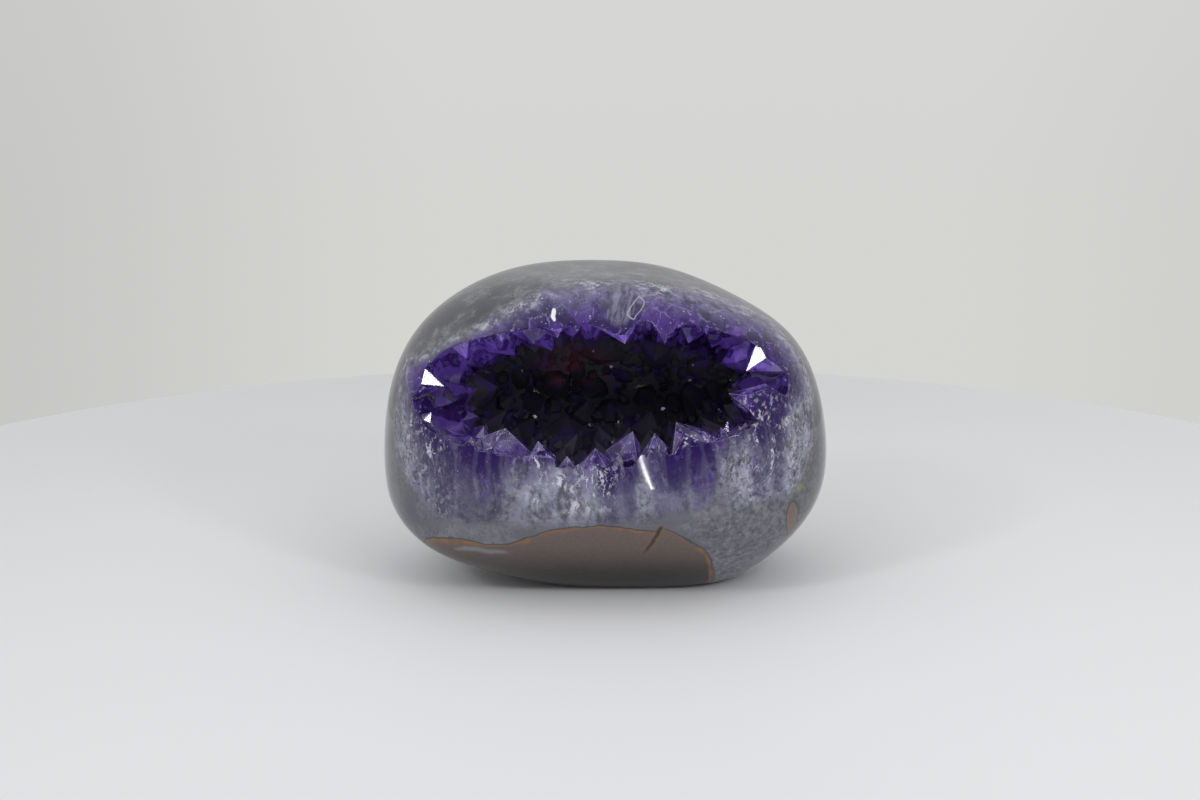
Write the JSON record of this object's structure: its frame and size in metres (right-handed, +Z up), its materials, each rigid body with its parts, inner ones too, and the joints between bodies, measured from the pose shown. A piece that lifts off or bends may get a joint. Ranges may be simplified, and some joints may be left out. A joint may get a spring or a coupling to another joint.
{
  "type": "polished amethyst geode",
  "caption": "Rounded, polished stone standing on a flat base, with a wide hollow open at the front and lined all round with a crust of amethyst points.",
  "frame": {"origin": "on the flat base, under the middle of the whole stone", "axes": "+X to the right as seen from the front, +Y to the back, +Z up; the opening faces -Y"},
  "size_m": [0.1104, 0.0869, 0.0763],
  "materials": {
    "stone": "polished",
    "amethyst": "polished where it is cut, natural crystal faces inside"
  },
  "bodies": {
    "root": {"stone": "stone", "amethyst_crust": "amethyst"}
  },
  "joints": []
}
